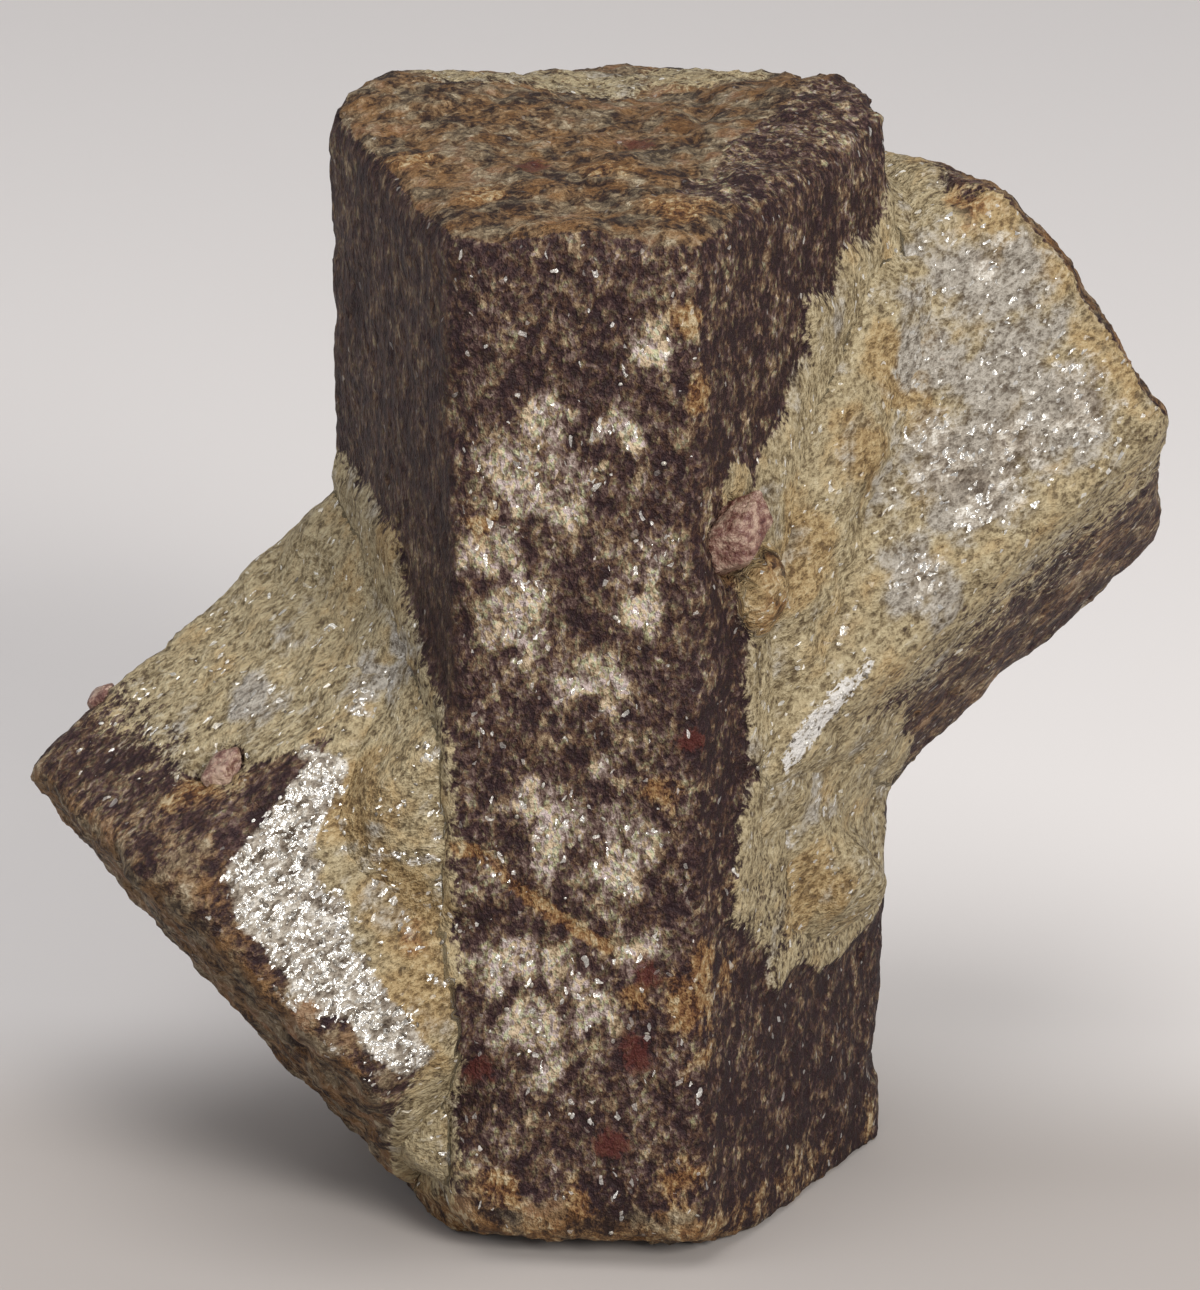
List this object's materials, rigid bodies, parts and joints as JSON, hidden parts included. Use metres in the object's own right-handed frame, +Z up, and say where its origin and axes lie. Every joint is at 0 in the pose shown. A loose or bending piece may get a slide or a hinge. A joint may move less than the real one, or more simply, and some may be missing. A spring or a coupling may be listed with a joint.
{
  "type": "staurolite twin crystal",
  "caption": "Natural staurolite cross: a six-sided prism crossed at sixty degrees by its twin, with mica schist in the inner corners and small garnets.",
  "frame": {"origin": "middle of the footprint, on the surface that the upright crystal's lower end stands on", "axes": "+Z up along the upright crystal's long axis; -Y is the side its broad front face looks to; +X is the side of the arm that rises"},
  "size_m": [0.048, 0.035, 0.0472],
  "materials": {
    "staurolite": "dark brown, rough, with a dull lustre and fine mica glints",
    "mica_schist": "khaki to grey, fine grained, sparkling with muscovite",
    "garnet": "dark red, half glossy"
  },
  "bodies": {
    "root": {"staurolite_twin": "staurolite", "matrix_left": "mica_schist", "matrix_left_low": "mica_schist", "matrix_right": "mica_schist", "matrix_right_low": "mica_schist", "matrix_back_left": "mica_schist", "matrix_back_right": "mica_schist", "garnet_front": "garnet", "garnet_left": "garnet", "garnet_tip": "garnet"}
  },
  "joints": []
}
